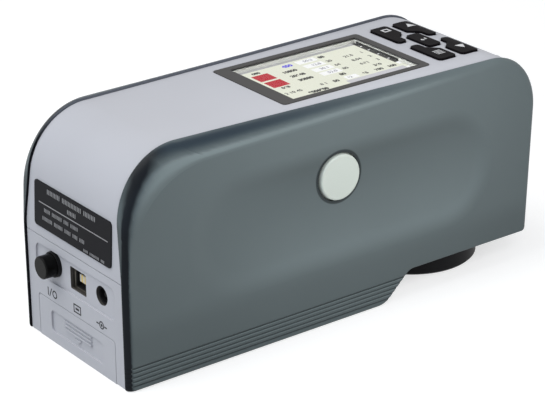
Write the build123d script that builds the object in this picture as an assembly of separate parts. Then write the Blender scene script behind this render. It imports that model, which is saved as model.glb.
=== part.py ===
from build123d import *
import os
from math import sqrt

# A handheld bench colorimeter, in millimetres.  +X is the measuring end, +Z is up, and the
# underside rests on z = 0.  The origin is on the underside, midway along the side shells.

# ---- housing ------------------------------------------------------------------------------
body_length = 206.0          # side shells along X, at the base
body_width = 75.0            # across both side shells
body_height = 95.2           # top rim of the side shells
wall = 2.2                   # moulded wall
rim_proud = 0.9              # the side shells stand this far above the centre mouldings
part_gap = 0.3               # groove between neighbouring mouldings
front_lean = 3.3             # the front face leans out this far over the full height
rear_lean = 2.4              # the end face leans in this far from its bend to the top
rear_lean_height = 48.2      # the end face leans over this height below the top rim
rear_bend_z = body_height - rear_lean_height
rear_bend_r = 150.0
rear_corner_r = 27.0         # top rear corner, side view
front_corner_r = 24.0        # top front corner, side view
foot_corner_r = 1.5          # lower corners, side view
step_height = 12.2           # underside of the raised measuring end
step_to_nose = 44.3          # end of the rest face, back from the measuring axis
step_run = 13.0              # length of the slope up to the raised end
step_convex_r = 9.0
step_concave_r = 5.0

# widths of the side shells' rolled shoulders, from the flat side to the centre mouldings
shoulder_width_rear = 2.7    # lower end face and underside
shoulder_width_bend = 5.7    # end face, at the lower end of the top rear corner
shoulder_width_corner = 8.4  # at the upper end of the top rear corner
shoulder_width_front = 2.5   # front face

# how far the rolled shoulders drop before they meet the flat sides
shoulder_top_rear = 9.0
shoulder_top_front = 3.0
shoulder_rear = 3.6
shoulder_corner_growth = 12.0  # the top rear corner's radius is this much larger at the flat sides
shoulder_front = 2.0
shoulder_base = 0.6

# grip scoop and grip lines on each side
scoop_centre_x = 4.4
scoop_centre_z = 52.0
scoop_end_margin = 25.0      # from each end of the body to the scoop
scoop_height = 54.0
scoop_depth = 0.9
scoop_ramp = 11.0            # width of the soft edge
grip_lines = 5
grip_line_first_z = 2.4
grip_line_pitch = 1.9
grip_line_width = 0.7
grip_line_depth = 0.35

# tongue on each shell that runs under the centre mouldings' edges
lip_thickness = 1.2
lip_width = 2.7
lip_gap = 0.15

# ---- rear end -----------------------------------------------------------------------------
seam_z = 44.7                # joint between the top cover and the port panel
recess_margin = 6.3          # beside the port field, to the side shell
recess_bottom_z = 26.8
recess_top_z = 40.8
recess_depth = 0.8
recess_corner_r = 3.0

power_y = 15.6
power_z = 35.2
power_cap_r = 4.75
power_cap_proud = 6.7        # above the recess floor
power_cap_tail = 2.0         # inside the panel's wall, in the switch
power_travel = 2.0
power_bushing_wall = 0.5
power_bushing_proud = 1.35
power_body_width = 12.6
power_body_length = 12.0
running_gap = 0.1            # radial, between sliding round pieces

usb_y = -1.6
usb_z = 33.9
usb_width = 12.0
usb_height = 10.2
usb_length = 16.0
usb_shell_wall = 0.4
usb_mouth_width = 8.6
usb_mouth_height = 7.8
usb_mouth_depth = 9.0
usb_tongue_width = 5.6
usb_tongue_height = 3.2
usb_tongue_setback = 1.0     # behind the shell's face
usb_rim_overlap = 0.4        # the panel covers the edge of the shell's face by this
usb_face_opening = 0.2       # the shell's face clears the mouth by this, all round
panel_gap = 0.15             # between the panel and what stands behind it

dc_y = -18.5
dc_z = 34.2
dc_barrel_r = 3.9
dc_nose_setback = 1.0        # below the recess floor
dc_bore_r = 3.1
dc_bore_depth = 9.0
dc_pin_r = 1.0
dc_block_width = 9.0
dc_block_length = 13.5

label_margin = 7.2           # beside the label, to the side shell
label_bottom_z = 49.0
label_top_z = 68.0
label_thickness = 0.5
label_corner_r = 1.6

door_margin = 6.8            # beside the door, to the side shell
door_height = 18.6
door_thickness = 2.0
door_gap = 0.25
door_corner_r = 1.5
door_tongue = 0.9            # side tongues that run in the panel's grooves
door_tongue_thickness = 0.5
grip_recess_half_width = 19.0
grip_recess_bottom_z = 4.8
grip_recess_top_z = 14.2
grip_recess_depth = 0.8
grip_rib_half_length = 10.0
grip_rib_first_z = 9.2
grip_rib_pitch = 1.7
grip_rib_height = 0.7
grip_rib_count = 3
arrow_half_width = 2.4
arrow_z = 6.0
arrow_height = 1.8

tray_inset = 1.8             # the bay is narrower than the door on each side
tray_height = 15.2
tray_wall = 1.2
tray_length = 71.6
pack_gap = 0.5
pack_length = 64.0
pack_corner_r = 2.5
pack_end_gap = 1.0           # from the bay's open end to the pack
contact_width = 5.0
contact_pitch = 14.0
contact_thickness = 0.4
contact_height = 9.0         # upright leaf at the end of the bay
contact_crest = 6.0          # where the leaf bends towards the pack
contact_tip = 2.5
contact_curl = 1.0

# ---- display and keys ---------------------------------------------------------------------
window_to_keys = 6.05        # cover left between the window and the keys
window_length = 75.5
window_half_width = 24.5
window_corner_r = 1.6
bezel_gap = 0.1
bezel_rear_band = 6.7
bezel_front_band = 3.2
bezel_side_band = 3.0
bezel_proud = 0.3
bezel_bevel = 0.4
lens_depth = 0.5             # below the bezel's face
lens_thickness = 1.0
lens_ledge = 1.2
gasket_height = 1.7          # between the window and the display
gasket_wall = 1.0
gasket_gap = 0.05
bezel_flange = 1.4
bezel_flange_thickness = 1.0
lcd_thickness = 3.6
lcd_leg_r = 2.0
lcd_leg_inset = 4.0

board_thickness = 1.6
board_depth = 10.3           # from the cover's face down to the board's top
board_rear_margin = 10.4     # behind the window
board_front_margin = 11.0    # from the front face
board_side_gap = 3.1         # from the shells' inner sides
boss_r = 2.4
boss_inset_x = 3.2           # from the board's ends
boss_inset_y = 3.4           # from the board's sides
screw_r = 1.1
screw_head_r = 2.1
screw_head_height = 1.4
screw_length = 6.0

keys_to_front = 28.35        # from the cluster's centre to the front face's foot
key_cluster_half_length = 10.7
key_cluster_half_width = 23.25
key_split_x = 1.6            # half the gap between the rear and the front keys
key_block_length = 12.2      # the wide part of an L key, along Y
key_leg_width = 4.7
key_leg_end_y = 3.25
key_enter_half_length = 8.0
key_enter_half_width = 3.4
key_corner_r = 1.6
key_gap = 0.25
key_travel = 0.6
key_proud = 0.9
key_flange = 0.5
key_flange_thickness = 0.9
key_flange_gap = 0.3
key_stem_r = 1.5
key_stem_x = 6.0             # from the cluster's centre
key_stem_y = 17.2
switch_size = 6.0
switch_height = 3.4
switch_button_r = 1.7
switch_button_height = 0.8
switch_slack = 0.2           # left between stem and switch at full travel

# ---- test button --------------------------------------------------------------------------
test_x = 0.1
test_z = 63.6
test_cap_r = 9.7
test_hole_r = 10.3
test_proud = 1.5             # above the floor of the scoop
test_travel = 1.3
test_flange_r = 11.0
test_flange_thickness = 1.2
test_sleeve_r = 11.4
test_sleeve_wall = 1.2
test_sleeve_length = 4.5
test_stem_r = 2.5
test_post_length = 11.3      # from the side's inner face to the switch board
test_board_half_length = 18.0
test_board_half_height = 6.0
test_post_r = 2.5
test_post_x = 15.2

# ---- measuring head -----------------------------------------------------------------------
nose_to_front = 34.3         # from the measuring axis to the front face's foot
nose_r = 29.0
nose_lift = 0.3              # the contact face clears the bench
nose_spigot_r = 23.8
nose_spigot_height = 2.9
nose_cavity_r = 20.5
sphere_seat_r = 12.5         # inner edge of the ledge that the sphere stands on
nose_floor_z = 6.0
nose_chamfer = 0.8
aperture_r = 4.0
aperture_length = 1.5
dish_outer_r = 14.0
dish_depth = 2.3
sphere_outer_r = 19.0
sphere_wall = 2.0
sphere_collar_r = 7.0
flange_r = 22.6
flange_thickness = 1.0
pillar_ring_r = 21.0
pillar_r = 1.5
pillar_screw_r = 0.8
nose_screw_offset = 18.7     # along X and Y from the measuring axis
port_r = 4.5
port_collar_r = 6.0
port_collar_length = 4.0
sensor_tube_r = 5.8
sensor_tube_wall = 1.2
sensor_tube_length = 12.0
sensor_lens_r = 4.4
sensor_lens_thickness = 2.0
sensor_board_size = 26.0
lamp_rise = 8.5              # the lamp port's axis above the sphere's centre
led_board_size = 18.0
led_r = 2.5
led_length = 4.0

post_r = 2.4
post_gap = 1.0               # beside the battery bay
port_post_rear = 11.0        # from the rear end to the posts and the board's front edge
port_post_front = 37.0
port_board_reach = 43.0
lug_r = 2.6
lug_height = 12.0
case_screw_inset = 6.5       # from the flat sides
case_screw_rear = 23.0       # from the rear end
case_screw_step = 14.4       # behind the end of the rest face
case_screw_front = 11.0      # from the front face's foot
case_screw_head_depth = 1.2
case_screw_head_r = 2.4
case_screw_length = 9.0

# ---- worked out from the above ------------------------------------------------------------
half_length = body_length / 2
half_width = body_width / 2
split_rear = half_width - shoulder_width_rear
split_bend = half_width - shoulder_width_bend
split_corner = half_width - shoulder_width_corner
split_front = half_width - shoulder_width_front
nose_x = half_length - nose_to_front
step_start_x = nose_x - step_to_nose
scoop_length = body_length - 2 * scoop_end_margin
key_centre_x = half_length - keys_to_front
window_front_x = key_centre_x - key_cluster_half_length - window_to_keys
window_rear_x = window_front_x - window_length
recess_half_width = split_rear - recess_margin
label_half_width = split_rear - label_margin
door_half_width = split_rear - door_margin
tray_half_width = door_half_width - tray_inset
cover_z = body_height - rim_proud
cover_in_z = cover_z - wall
rear_face_x = rim_proud - half_length
rear_in_x = rear_face_x + wall
front_in_x = half_length - rim_proud - wall
side_in_y = half_width - wall
recess_x = rear_face_x + recess_depth
lens_low_z = cover_z + bezel_proud - lens_depth - lens_thickness
lcd_top_z = lens_low_z - gasket_height
tray_end_x = rear_in_x + part_gap + tray_length
board_top_z = cover_z - board_depth
board_low_z = board_top_z - board_thickness
board_rear_x = window_rear_x - board_rear_margin
board_front_x = half_length - board_front_margin
board_half_width = side_in_y - board_side_gap
port_board_top_z = usb_z - usb_height / 2
port_board_low_z = port_board_top_z - board_thickness
aperture_low_z = nose_lift + dish_depth
sphere_seat_z = aperture_low_z + aperture_length
sphere_z = sphere_seat_z + sphere_outer_r
bushing_r = power_cap_r + running_gap + power_bushing_wall
pack_height = tray_height - 2 * tray_wall - pack_gap
test_board_y = side_in_y - test_post_length
test_switch_y = test_board_y + switch_height + switch_button_height
sensor_tube_low_z = sphere_z + sphere_outer_r + port_collar_length - 1.0
sensor_board_z = sensor_tube_low_z + sensor_tube_length
lamp_z = sphere_z + lamp_rise
led_board_x = nose_x - sphere_outer_r - port_collar_length
far = 400.0                  # longer than anything here

boss_y = board_half_width - boss_inset_y
port_post_y = tray_half_width + post_gap + post_r
case_screw_y = half_width - case_screw_inset
case_screw_xs = (case_screw_rear - half_length, step_start_x - case_screw_step,
                 half_length - case_screw_front)
board_screw_places = [(x, side * boss_y) for side in (-1, 1)
                      for x in (board_rear_x + boss_inset_x, board_front_x - boss_inset_x)]
port_post_places = [(x - half_length, side * port_post_y) for side in (-1, 1)
                    for x in (port_post_rear, port_post_front)]
case_screw_places = [(x, side * case_screw_y) for side in (-1, 1) for x in case_screw_xs]
pillar_places = [(nose_x + i * pillar_ring_r, j * pillar_ring_r)
                 for i, j in ((1, 0), (0, 1), (-1, 0), (0, -1))]
nose_screw_places = [(nose_x + i * nose_screw_offset, j * nose_screw_offset)
                     for i, j in ((1, 1), (-1, 1), (-1, -1), (1, -1))]
key_stem_places = {
    "key_menu": (key_centre_x - key_stem_x, key_stem_y),
    "key_up": (key_centre_x + key_stem_x, key_stem_y),
    "key_enter": (key_centre_x, 0.0),
    "key_down": (key_centre_x + key_stem_x, -key_stem_y),
    "key_list": (key_centre_x - key_stem_x, -key_stem_y),
}


def block(x0, x1, y0, y1, z0, z1):
    size = Vector(x1 - x0, y1 - y0, z1 - z0)
    return Pos((x0 + x1) / 2, (y0 + y1) / 2, (z0 + z1) / 2) * Box(size.X, size.Y, size.Z)


def rod(x, y, z0, z1, r):
    return Pos(x, y, (z0 + z1) / 2) * Cylinder(r, z1 - z0)


def rod_x(y, z, x0, x1, r):
    return Pos((x0 + x1) / 2, y, z) * Rot(0, 90, 0) * Cylinder(r, x1 - x0)


def rod_y(x, z, y0, y1, r):
    return Pos(x, (y0 + y1) / 2, z) * Rot(90, 0, 0) * Cylinder(r, y1 - y0)


def slab(x0, x1, y0, y1, z0, z1, r):
    """A plate with rounded corners in plan."""
    sketch = Pos((x0 + x1) / 2, (y0 + y1) / 2, z0) * RectangleRounded(x1 - x0, y1 - y0, r)
    return extrude(sketch, amount=z1 - z0)


def end_prism(y0, y1, z0, z1, r, x0, x1):
    """A prism along X with rounded corners in the end view."""
    plane = Plane(origin=(x0, (y0 + y1) / 2, (z0 + z1) / 2), x_dir=(0, 1, 0), z_dir=(1, 0, 0))
    return extrude(plane * RectangleRounded(y1 - y0, z1 - z0, r), amount=x1 - x0)


# ---- housing forms ------------------------------------------------------------------------
def roll(drop, start, y, reach):
    """Quarter-ellipse shoulder: how far the outline has drawn in at y."""
    u = min(max((y - start) / (reach - start), 0.0), 1.0)
    return drop * (1 - sqrt(1 - u * u))


def outline(y, inset, base_inset):
    """The side view of the body at y, drawn in by inset and by the shoulders."""
    reach = half_width - inset
    rear = inset + roll(shoulder_rear, split_rear - inset, y, reach)
    top_rear = inset + roll(shoulder_top_rear, split_corner - inset, y, reach)
    top_front = inset + roll(shoulder_top_front, split_front - inset, y, reach)
    front = inset + roll(shoulder_front, split_front - inset, y, reach)
    base = base_inset + roll(shoulder_base, split_rear - inset, y, reach)
    points = [
        (rear - half_length, base),
        (rear - half_length, rear_bend_z),
        (rear - half_length + rear_lean, body_height - top_rear),
        (half_length + front_lean - front, body_height - top_front),
        (half_length - front, step_height + base),
        (step_start_x + step_run, step_height + base),
        (step_start_x, base),
    ]
    foot_r = max(foot_corner_r - inset, 0.3)
    growth = roll(shoulder_corner_growth, split_corner - inset, y, reach)
    room = 0.9 * (body_height - top_rear - rear_bend_z)
    corner_r = max(min(rear_corner_r - inset + growth, room), rear_corner_r - inset)
    radii = [foot_r, rear_bend_r, corner_r, front_corner_r - inset,
             foot_r, step_concave_r, step_convex_r]
    plane = Plane(origin=(0, y, 0), x_dir=(1, 0, 0), z_dir=(0, -1, 0))
    return plane * make_face(FilletPolyline(*points, radius=radii, close=True))


def half_form(inset, base_inset):
    """The body's +Y half: a straight middle and a shoulder lofted through outlines."""
    start = split_corner - inset
    reach = half_width - inset
    steps = (0.0, 0.1, 0.2, 0.3, 0.4, 0.5, 0.6, 0.7, 0.79, 0.87, 0.93, 0.975, 1.0)
    shoulder = loft([outline(start + (reach - start) * s, inset, base_inset) for s in steps])
    middle = extrude(outline(start, inset, base_inset), amount=start)
    return middle + shoulder


def core_half(grow):
    """Everything between the two side shells, on +Y: what the shells are split from."""
    corner_x = rear_lean + rear_corner_r - half_length
    corner_z = body_height - rear_corner_r
    front_x = half_length + front_lean - front_corner_r
    end = Polyline((0, -far), (split_rear + grow, -far), (split_rear + grow, rear_bend_z),
                   (split_bend + grow, corner_z), (0, corner_z), close=True)
    end_plane = Plane(origin=(-far, 0, 0), x_dir=(0, 1, 0), z_dir=(1, 0, 0))
    rear = extrude(end_plane * make_face(end), amount=far + corner_x)
    plan = Polyline((corner_x, 0), (corner_x, split_corner + grow), (front_x, split_front + grow),
                    (far, split_front + grow), (far, 0), close=True)
    top = Pos(0, 0, corner_z) * extrude(make_face(plan), amount=far)
    below = block(corner_x, front_x, 0, split_rear + grow, -far, corner_z)
    front = block(front_x, far, 0, split_front + grow, -far, corner_z)
    reach = 2 * rear_corner_r
    sections = []
    for step in range(7):
        width = split_bend + (split_corner - split_bend) * step / 6 + grow
        face = Pos(-reach / 2 - 1, width / 2) * Rectangle(reach, width)
        sections.append(Pos(corner_x, 0, corner_z) * Rot(0, 15 * step, 0) * face)
    return rear + top + below + front + loft(sections)


def both_sides(half):
    return half + mirror(half, about=Plane.XZ)


def perimeter_wall(outer_half, core):
    """The centre mouldings' strip all round the body, before it is divided."""
    inner = extrude(outline(0, rim_proud + wall, wall), amount=-body_width)
    return both_sides((outer_half - inner) & core)


# ---- side shells --------------------------------------------------------------------------
def scoop():
    """Shallow grip hollow with a soft edge, for the +Y side."""
    sections = []
    for step in range(5):
        turn = step / 4
        depth = scoop_depth * (3 * turn ** 2 - 2 * turn ** 3)
        inset = scoop_ramp * turn
        plane = Plane(origin=(scoop_centre_x, half_width - depth + 0.01, scoop_centre_z),
                      x_dir=(1, 0, 0), z_dir=(0, -1, 0))
        corner = scoop_height / 2 - inset - 1
        sections.append(plane * RectangleRounded(scoop_length - 2 * inset,
                                                 scoop_height - 2 * inset, corner))
    return loft(sections)


def lip(outer_half):
    """Tongue behind the centre mouldings' edges, running all round the shell."""
    top = rim_proud + wall + lip_gap
    base = wall + lip_gap
    ring = outline(0, top, base) - outline(0, top + lip_thickness, base + lip_thickness)
    band = extrude(ring, amount=-(side_in_y + 0.2))
    return (band & block(-far, far, side_in_y - lip_width, far, -far, far)) & outer_half


def plain_shell(outer_half, core_cut):
    """A side moulding: flat side with a rolled shoulder, scoop, grip lines, lip and screw lugs."""
    shell = outer_half - half_form(wall, wall) - core_cut
    shell = shell + lip(outer_half)
    shell = shell - scoop()
    for line in range(grip_lines):
        z = grip_line_first_z + line * grip_line_pitch
        shell = shell - block(-far, far, half_width - grip_line_depth, far,
                              z - grip_line_width / 2, z + grip_line_width / 2)
    for x in case_screw_xs:
        low = floor_height(x) + wall + 0.1
        lug = rod(x, case_screw_y, low, low + lug_height, lug_r)
        lug = lug + block(x - 1, x + 1, case_screw_y, side_in_y + 0.2, low, low + lug_height)
        hole = rod(x, case_screw_y, low - 1, low + lug_height - 2, screw_r + 0.1)
        shell = shell + lug - hole
    return shell


def floor_height(x):
    """The underside's height at x, away from the slope."""
    return step_height if x > step_start_x + step_run else 0.0


def button_shell(plain):
    """The -Y shell: the plain one mirrored, with the test button's hole, sleeve and board posts."""
    shell = mirror(plain, about=Plane.XZ)
    sleeve = rod_y(test_x, test_z, -side_in_y - 0.2, -side_in_y + test_sleeve_length,
                   test_sleeve_r + test_sleeve_wall)
    shell = shell + sleeve - rod_y(test_x, test_z, -side_in_y, 0, test_sleeve_r)
    for side in (-1, 1):
        x = test_x + side * test_post_x
        post = rod_y(x, test_z, -side_in_y - 0.2, -test_board_y, test_post_r)
        shell = shell + post - rod_y(x, test_z, -test_board_y - screw_length, 0, screw_r + 0.1)
    return shell - rod_y(test_x, test_z, -far, 0, test_hole_r)


# ---- centre mouldings ---------------------------------------------------------------------
def top_cover(strip):
    """The pale strip over the end, top and front, with window, key holes and board bosses."""
    cover = strip - block(-far, front_in_x, -far, far, -far, seam_z)
    cover = cover - slab(window_rear_x, window_front_x, -window_half_width, window_half_width,
                         cover_in_z - 1, body_height + 1, window_corner_r)
    for shape in key_outlines().values():
        hole = grown(shape, key_gap)
        cover = cover - extrude(Pos(0, 0, board_top_z) * hole, amount=body_height - board_top_z)
    for x, y in board_screw_places:
        boss = rod(x, y, board_top_z, cover_in_z + 0.2, boss_r)
        cover = cover + boss - rod(x, y, board_top_z - 1, board_top_z + screw_length, screw_r + 0.1)
    return cover


def port_panel(strip):
    """Lower end moulding: sunk port field, three connector holes and the battery doorway."""
    panel = strip & block(-far, rear_in_x, -far, far, -far, seam_z - part_gap)
    panel = panel - end_prism(-recess_half_width, recess_half_width, recess_bottom_z, recess_top_z,
                              recess_corner_r, -far, recess_x)
    panel = panel - rod_x(power_y, power_z, -far, 0, bushing_r + running_gap)
    half = usb_width / 2 - usb_rim_overlap
    rise = usb_height / 2 - usb_rim_overlap
    panel = panel - end_prism(usb_y - half, usb_y + half, usb_z - rise, usb_z + rise, 0.5, -far, 0)
    panel = panel - rod_x(dc_y, dc_z, -far, 0, dc_barrel_r + running_gap)
    panel = panel - end_prism(-door_half_width, door_half_width, -door_height, door_height,
                              door_corner_r, -far, 0)
    groove_x = rear_face_x + (door_thickness - door_tongue_thickness) / 2
    groove = door_half_width + door_tongue + door_gap
    return panel - block(groove_x - door_gap, groove_x + door_tongue_thickness + door_gap,
                         -groove, groove, -1, door_height)


def battery_door():
    """Sliding door with side tongues, a finger hollow, grip ribs and an arrow."""
    y = door_half_width - door_gap
    top = door_height - door_gap
    door = end_prism(-y, y, -top, top, door_corner_r, rear_face_x, rear_face_x + door_thickness)
    door = door & block(-far, 0, -y, y, 0.1, far)
    tongue_x = rear_face_x + (door_thickness - door_tongue_thickness) / 2
    tongues = block(tongue_x, tongue_x + door_tongue_thickness, -y - door_tongue, y + door_tongue,
                    0.1, top - door_corner_r)
    hollow = end_prism(-grip_recess_half_width, grip_recess_half_width, grip_recess_bottom_z,
                       grip_recess_top_z, 2.0, rear_face_x - 1, rear_face_x + grip_recess_depth)
    door = door + tongues - hollow
    floor_x = rear_face_x + grip_recess_depth
    for rib in range(grip_rib_count):
        z = grip_rib_first_z + rib * grip_rib_pitch
        door = door + block(floor_x - grip_recess_depth * 0.8, floor_x + 0.1,
                            -grip_rib_half_length, grip_rib_half_length,
                            z - grip_rib_height / 2, z + grip_rib_height / 2)
    plane = Plane(origin=(floor_x + 0.1, 0, 0), x_dir=(0, -1, 0), z_dir=(-1, 0, 0))
    tip = Polyline((-arrow_half_width, arrow_z + arrow_height),
                   (arrow_half_width, arrow_z + arrow_height), (0, arrow_z), close=True)
    return door + extrude(plane * make_face(tip), amount=0.1 + grip_recess_depth * 0.6)


def base_cover(strip):
    """Underside moulding with the step, the measuring head's hole, screw holes and board posts."""
    base = strip & block(rear_in_x + part_gap, front_in_x - part_gap, -far, far,
                         -far, step_height + wall + 0.2)
    base = base - rod(nose_x, 0, 0, step_height + far, nose_spigot_r + running_gap)
    for x in case_screw_xs:
        floor_z = floor_height(x)
        for y in (-case_screw_y, case_screw_y):
            base = base - rod(x, y, floor_z - 1, floor_z + wall + 1, screw_r + 0.2)
            base = base - rod(x, y, floor_z - 1, floor_z + case_screw_head_depth,
                              case_screw_head_r + 0.2)
    for x, y in port_post_places:
        post = rod(x, y, wall - 0.2, port_board_low_z, post_r)
        base = base + post - rod(x, y, port_board_low_z - screw_length, port_board_low_z + 1,
                                 screw_r + 0.1)
    for x, y in nose_screw_places:
        base = base - rod(x, y, step_height - 1, step_height + wall + 1, screw_r + 0.2)
    return base


# ---- display ------------------------------------------------------------------------------
def opening_box():
    """The bezel's opening at its face: rear x, front x and half-width."""
    return (window_rear_x + bezel_rear_band, window_front_x - bezel_front_band,
            window_half_width - bezel_side_band)


def display_bezel():
    """Dark frame in the window: a bevelled opening, a lens pocket and a hidden flange."""
    face_z = cover_z + bezel_proud
    lens_z = face_z - lens_depth
    low = cover_in_z - bezel_flange_thickness
    frame = slab(window_rear_x + bezel_gap, window_front_x - bezel_gap,
                 bezel_gap - window_half_width, window_half_width - bezel_gap,
                 low, face_z, window_corner_r)
    frame = frame + slab(window_rear_x - bezel_flange, window_front_x + bezel_flange,
                         -window_half_width - bezel_flange, window_half_width + bezel_flange,
                         low, cover_in_z - 0.05, window_corner_r)
    x0, x1, y1 = opening_box()
    middle_x = (x0 + x1) / 2
    lower = Pos(middle_x, 0, lens_z) * Rectangle(x1 - x0 - 2 * bezel_bevel, 2 * (y1 - bezel_bevel))
    upper = Pos(middle_x, 0, face_z) * Rectangle(x1 - x0, 2 * y1)
    frame = frame - loft([lower, upper])
    pocket = slab(x0 - lens_ledge, x1 + lens_ledge, -y1 - lens_ledge, y1 + lens_ledge,
                  low - 1, lens_z, 1.0)
    return frame - pocket


def display_lens():
    x0, x1, y1 = opening_box()
    ledge = lens_ledge - bezel_gap
    return slab(x0 - ledge, x1 + ledge, -y1 - ledge, y1 + ledge, lens_low_z,
                lens_low_z + lens_thickness, 1.0)


def display_gasket():
    """Light frame between the window and the display."""
    x0, x1, y1 = opening_box()
    low = lcd_top_z + gasket_gap
    high = lens_low_z - gasket_gap
    outer = slab(x0 - gasket_wall, x1 + gasket_wall, -y1 - gasket_wall, y1 + gasket_wall,
                 low, high, gasket_wall)
    return outer - slab(x0, x1, -y1, y1, low - 1, high + 1, 0.3)


def lcd_module():
    """The display on its four legs, under the gasket."""
    x0, x1, y1 = opening_box()
    low = lcd_top_z - lcd_thickness
    panel = slab(x0 - gasket_wall, x1 + gasket_wall, -y1 - gasket_wall, y1 + gasket_wall,
                 low, lcd_top_z, 0.8)
    for x in (x0 + lcd_leg_inset, x1 - lcd_leg_inset):
        for y in (lcd_leg_inset - y1, y1 - lcd_leg_inset):
            panel = panel + rod(x, y, board_top_z, low, lcd_leg_r)
    return panel


def main_board():
    board = slab(board_rear_x, board_front_x, -board_half_width, board_half_width,
                 board_low_z, board_top_z, 2.0)
    for x, y in board_screw_places:
        board = board - rod(x, y, board_low_z - 1, board_top_z + 1, screw_r + 0.2)
    return board


# ---- keys ---------------------------------------------------------------------------------
def l_key(side_x, side_y):
    """One L key in plan; side_x and side_y say which corner of the cluster it takes."""
    outer = key_cluster_half_length
    leg = outer - key_leg_width
    y1 = key_cluster_half_width
    y2 = y1 - key_block_length
    corners = [(outer, y1), (key_split_x, y1), (key_split_x, y2 + 1.5), (key_split_x + 1.5, y2),
               (leg - 1, y2 - 1.5), (leg, y2 - 3), (leg, key_leg_end_y), (outer, key_leg_end_y)]
    radii = [key_corner_r, key_corner_r, 0.5, 1.0, 0.5, 0.5, key_corner_r, key_corner_r]
    points = [(key_centre_x + side_x * x, side_y * y) for x, y in corners]
    return make_face(FilletPolyline(*points, radius=radii, close=True))


def key_outlines():
    """The five key shapes in plan: four L keys wrapped round the enter key."""
    enter = RectangleRounded(2 * key_enter_half_width, 2 * key_enter_half_length, key_corner_r)
    return {
        "key_menu": l_key(-1, 1),
        "key_up": l_key(1, 1),
        "key_enter": Pos(key_centre_x, 0) * enter,
        "key_down": l_key(1, -1),
        "key_list": l_key(-1, -1),
    }


def grown(shape, amount):
    return offset(shape, amount, kind=Kind.INTERSECTION)


def key(shape, place, cap_skin, flange_skin):
    """One key: its face follows the cover, over a retaining flange and a stem."""
    flange_low = cover_in_z - key_flange_gap - key_flange_thickness
    flange = extrude(Pos(0, 0, flange_low) * grown(shape, key_flange), amount=far) & flange_skin
    cap = extrude(Pos(0, 0, flange_low) * shape, amount=far) & cap_skin
    stem_low = board_top_z + switch_height + switch_button_height + key_travel + switch_slack
    return cap + flange + rod(place[0], place[1], stem_low, flange_low + 0.2, key_stem_r)


def key_switches():
    switches = []
    half = switch_size / 2
    top = board_top_z + switch_height
    for x, y in key_stem_places.values():
        body = block(x - half, x + half, y - half, y + half, board_top_z, top)
        switches.append(body + rod(x, y, top - 0.1, top + switch_button_height, switch_button_r))
    return switches


# ---- test button --------------------------------------------------------------------------
def test_button():
    """Round side button: a crowned cap, a flange that keeps it in, and a stem."""
    face_y = scoop_depth - half_width - test_proud
    flange_y = -side_in_y + key_flange_gap
    cap = rod_y(test_x, test_z, face_y, flange_y + 0.2, test_cap_r)
    cap = fillet(cap.edges().group_by(Axis.Y)[0], 0.8)
    flange = rod_y(test_x, test_z, flange_y, flange_y + test_flange_thickness, test_flange_r)
    stem = rod_y(test_x, test_z, flange_y + 0.2, -test_switch_y - test_travel - switch_slack,
                 test_stem_r)
    return cap + flange + stem


def test_switch():
    """The test button's switch on its small upright board."""
    board = block(test_x - test_board_half_length, test_x + test_board_half_length,
                  -test_board_y, board_thickness - test_board_y,
                  test_z - test_board_half_height, test_z + test_board_half_height)
    for side in (-1, 1):
        board = board - rod_y(test_x + side * test_post_x, test_z, -far, 0, screw_r + 0.2)
    half = switch_size / 2
    top = -test_board_y - switch_height
    body = block(test_x - half, test_x + half, top, -test_board_y, test_z - half, test_z + half)
    return board + body + rod_y(test_x, test_z, top - switch_button_height, top + 0.1, switch_button_r)


# ---- ports and battery --------------------------------------------------------------------
def power_switch():
    """Latching switch body with the round bushing that guides the cap."""
    body_x = rear_in_x + part_gap
    half = power_body_width / 2
    body = block(body_x, body_x + power_body_length, power_y - half, power_y + half,
                 port_board_top_z, power_z + half)
    bushing = rod_x(power_y, power_z, recess_x - power_bushing_proud, body_x + 0.2, bushing_r)
    bore = rod_x(power_y, power_z, -far, rear_in_x + power_cap_tail + power_travel + switch_slack,
                 power_cap_r + running_gap)
    return body + bushing - bore


def power_button():
    cap = rod_x(power_y, power_z, recess_x - power_cap_proud, rear_in_x + power_cap_tail,
                power_cap_r)
    return fillet(cap.edges().group_by(Axis.X)[0], 0.6)


def usb_shell():
    """Plated tube behind the panel, with a face that frames the mouth."""
    x0 = rear_in_x + panel_gap
    half = usb_width / 2
    rise = usb_height / 2
    outer = block(x0, x0 + usb_length, usb_y - half, usb_y + half, usb_z - rise, usb_z + rise)
    inner = block(x0 + usb_shell_wall, x0 + usb_length - usb_shell_wall,
                  usb_y - half + usb_shell_wall, usb_y + half - usb_shell_wall,
                  usb_z - rise + usb_shell_wall, usb_z + rise - usb_shell_wall)
    return outer - inner - usb_mouth(usb_face_opening, x0 - 1, x0 + 1)


def usb_mouth(grow, x0, x1):
    """The socket's mouth: a square with its two upper corners cut off."""
    half = usb_mouth_width / 2 + grow
    rise = usb_mouth_height / 2 + grow
    mouth = block(x0, x1, usb_y - half, usb_y + half, usb_z - rise, usb_z + rise)
    return chamfer(mouth.edges().filter_by(Axis.X).group_by(Axis.Z)[-1], 1.6)


def usb_insert():
    """Insulator with the mouth and the tongue inside it."""
    gap = usb_shell_wall + 0.05
    x0 = rear_in_x + panel_gap
    half = usb_width / 2 - gap
    rise = usb_height / 2 - gap
    outer = block(x0 + gap, x0 + usb_length - gap, usb_y - half, usb_y + half,
                  usb_z - rise, usb_z + rise)
    tongue = block(x0 + usb_tongue_setback, x0 + usb_mouth_depth + 0.2,
                   usb_y - usb_tongue_width / 2, usb_y + usb_tongue_width / 2,
                   usb_z - usb_tongue_height / 2, usb_z + usb_tongue_height / 2)
    return outer - usb_mouth(0.0, x0 - 1, x0 + usb_mouth_depth) + tongue


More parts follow.
